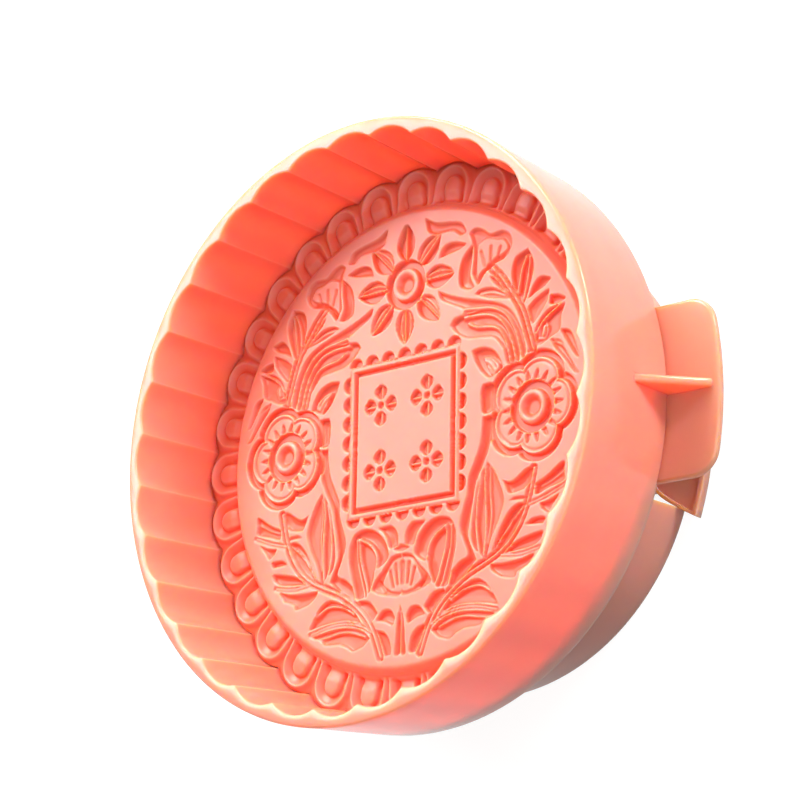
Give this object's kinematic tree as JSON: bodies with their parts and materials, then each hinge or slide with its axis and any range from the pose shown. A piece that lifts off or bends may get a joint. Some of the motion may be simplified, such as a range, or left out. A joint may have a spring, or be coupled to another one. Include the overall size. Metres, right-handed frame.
{
  "type": "mooncake press",
  "caption": "Large hand-pressed mooncake mould: a fluted round barrel with finger plates, a carved stamp and a sprung pusher cap behind it.",
  "frame": {"origin": "centre of the flat palm face at the back of the pusher cap, on which the press stands", "axes": "+Z along the axis from the palm face to the open mould, +X through the two finger plates"},
  "size_m": [0.1752, 0.15, 0.062],
  "materials": {
    "coral_plastic": "smooth, slightly translucent moulded plastic",
    "spring_steel": "drawn wire, satin"
  },
  "bodies": {
    "barrel": {"barrel": "coral_plastic", "return_spring_1": "spring_steel", "return_spring_2": "spring_steel", "return_spring_3": "spring_steel", "return_spring_4": "spring_steel"},
    "pusher": {"pusher_cap": "coral_plastic", "press_plate": "coral_plastic", "stamp_plate": "coral_plastic", "plate_screws": "spring_steel"}
  },
  "joints": [
    {"name": "press", "type": "slide", "parent": "barrel", "child": "pusher", "axis": [0, 0, 1], "range_m": [0, 0.0235], "stiffness_N_per_m": 600, "springref_m": -0.01, "deforming": ["return_spring_1", "return_spring_2", "return_spring_3", "return_spring_4"]}
  ]
}
